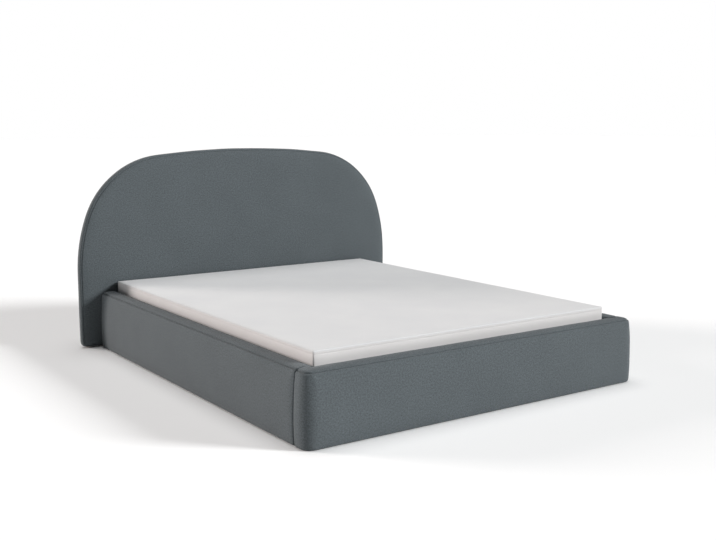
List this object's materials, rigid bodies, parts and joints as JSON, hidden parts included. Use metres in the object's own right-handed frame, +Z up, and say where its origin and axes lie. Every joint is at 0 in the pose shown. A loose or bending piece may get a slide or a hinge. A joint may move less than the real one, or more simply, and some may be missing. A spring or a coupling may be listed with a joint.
{
  "type": "upholstered storage bed",
  "caption": "Upholstered bed with an arched padded headboard, padded floor-length rails with rounded foot corners, and a slatted platform and mattress that lift on gas springs.",
  "frame": {"origin": "on the floor, under the middle of the bed's overall box", "axes": "+X across the bed to the right of someone who stands at the foot and looks at the headboard, +Y from the foot to the headboard, +Z up"},
  "size_m": [2.001, 2.191, 1.056],
  "materials": {
    "cover_cloth": "matte",
    "mattress_ticking": "matte",
    "back_cloth": "matte",
    "plywood": "matte",
    "pine": "matte",
    "particle_board": "matte",
    "hardboard": "matte",
    "slat_beech": "satin",
    "powder_coat": "satin",
    "zinc_steel": "satin",
    "spring_paint": "gloss",
    "polished_rod": "polished",
    "rubber_pad": "matte",
    "holder_plastic": "matte",
    "glide_plastic": "satin",
    "strap_webbing": "matte"
  },
  "bodies": {
    "base": {"right_rail_inner_board": "particle_board", "right_rail_outer_board": "hardboard", "right_rail_blocks": "pine", "right_rail_padding": "cover_cloth", "right_head_bracket": "powder_coat", "right_foot_bracket": "powder_coat", "right_ledge": "powder_coat", "right_hinge_plate": "powder_coat", "right_storage_floor": "hardboard", "right_headboard_stud": "pine", "left_rail_inner_board": "particle_board", "left_rail_outer_board": "hardboard", "left_rail_blocks": "pine", "left_rail_padding": "cover_cloth", "left_head_bracket": "powder_coat", "left_foot_bracket": "powder_coat", "left_ledge": "powder_coat", "left_hinge_plate": "powder_coat", "left_storage_floor": "hardboard", "left_headboard_stud": "pine", "headboard_board": "plywood", "headboard_cross_rails": "pine", "headboard_padding": "cover_cloth", "headboard_back_cover": "back_cloth", "foot_rail_inner_board": "particle_board", "foot_rail_outer_board": "hardboard", "foot_rail_blocks": "pine", "foot_rail_padding": "cover_cloth", "frame_screws": "zinc_steel", "headboard_bolts": "zinc_steel", "floor_battens": "pine", "floor_centre_beam": "pine", "floor_glides": "glide_plastic", "foot_ledge": "powder_coat", "rest_pads": "rubber_pad", "pivot_pins": "zinc_steel", "lower_spring_studs": "zinc_steel"},
    "platform": {"right_frame_side_tube": "powder_coat", "right_slats": "slat_beech", "right_lift_arm": "powder_coat", "left_frame_side_tube": "powder_coat", "left_slats": "slat_beech", "left_lift_arm": "powder_coat", "frame_head_tube": "powder_coat", "frame_foot_tube": "powder_coat", "frame_centre_tube": "powder_coat", "frame_cross_tubes": "powder_coat", "tube_end_caps": "holder_plastic", "outer_slat_holders": "holder_plastic", "centre_slat_holders": "holder_plastic", "arm_bolts": "zinc_steel", "upper_spring_brackets": "powder_coat", "mattress": "mattress_ticking", "mattress_stops": "powder_coat", "pull_strap": "strap_webbing"},
    "left_cylinder": {"left_gas_spring_cylinder": "spring_paint"},
    "left_rod": {"left_gas_spring_rod": "polished_rod"},
    "right_cylinder": {"right_gas_spring_cylinder": "spring_paint"},
    "right_rod": {"right_gas_spring_rod": "polished_rod"}
  },
  "joints": [
    {"name": "lift", "type": "hinge", "parent": "base", "child": "platform", "pos_m": [0, 0.8095, 0.28], "axis": [-1, 0, 0], "range_deg": [0, 40]},
    {"name": "left_cylinder_swing", "type": "hinge", "parent": "base", "child": "left_cylinder", "pos_m": [-0.788, 0.8565, 0.075], "axis": [-1, 0, 0], "range_deg": [0, 20.1]},
    {"name": "left_rod_slide", "type": "slide", "parent": "left_cylinder", "child": "left_rod", "axis": [0, -0.9473, 0.3203], "range_m": [0, 0.1122]},
    {"name": "right_cylinder_swing", "type": "hinge", "parent": "base", "child": "right_cylinder", "pos_m": [0.788, 0.8565, 0.075], "axis": [-1, 0, 0], "range_deg": [0, 20.1]},
    {"name": "right_rod_slide", "type": "slide", "parent": "right_cylinder", "child": "right_rod", "axis": [0, -0.9473, 0.3203], "range_m": [0, 0.1122]}
  ],
  "couplings": [
    {"joint": "left_cylinder_swing", "follows": "lift", "ratio": 0.50204},
    {"joint": "left_rod_slide", "follows": "lift", "m_per_rad": 0.16053},
    {"joint": "right_cylinder_swing", "follows": "lift", "ratio": 0.50204},
    {"joint": "right_rod_slide", "follows": "lift", "m_per_rad": 0.16053}
  ]
}
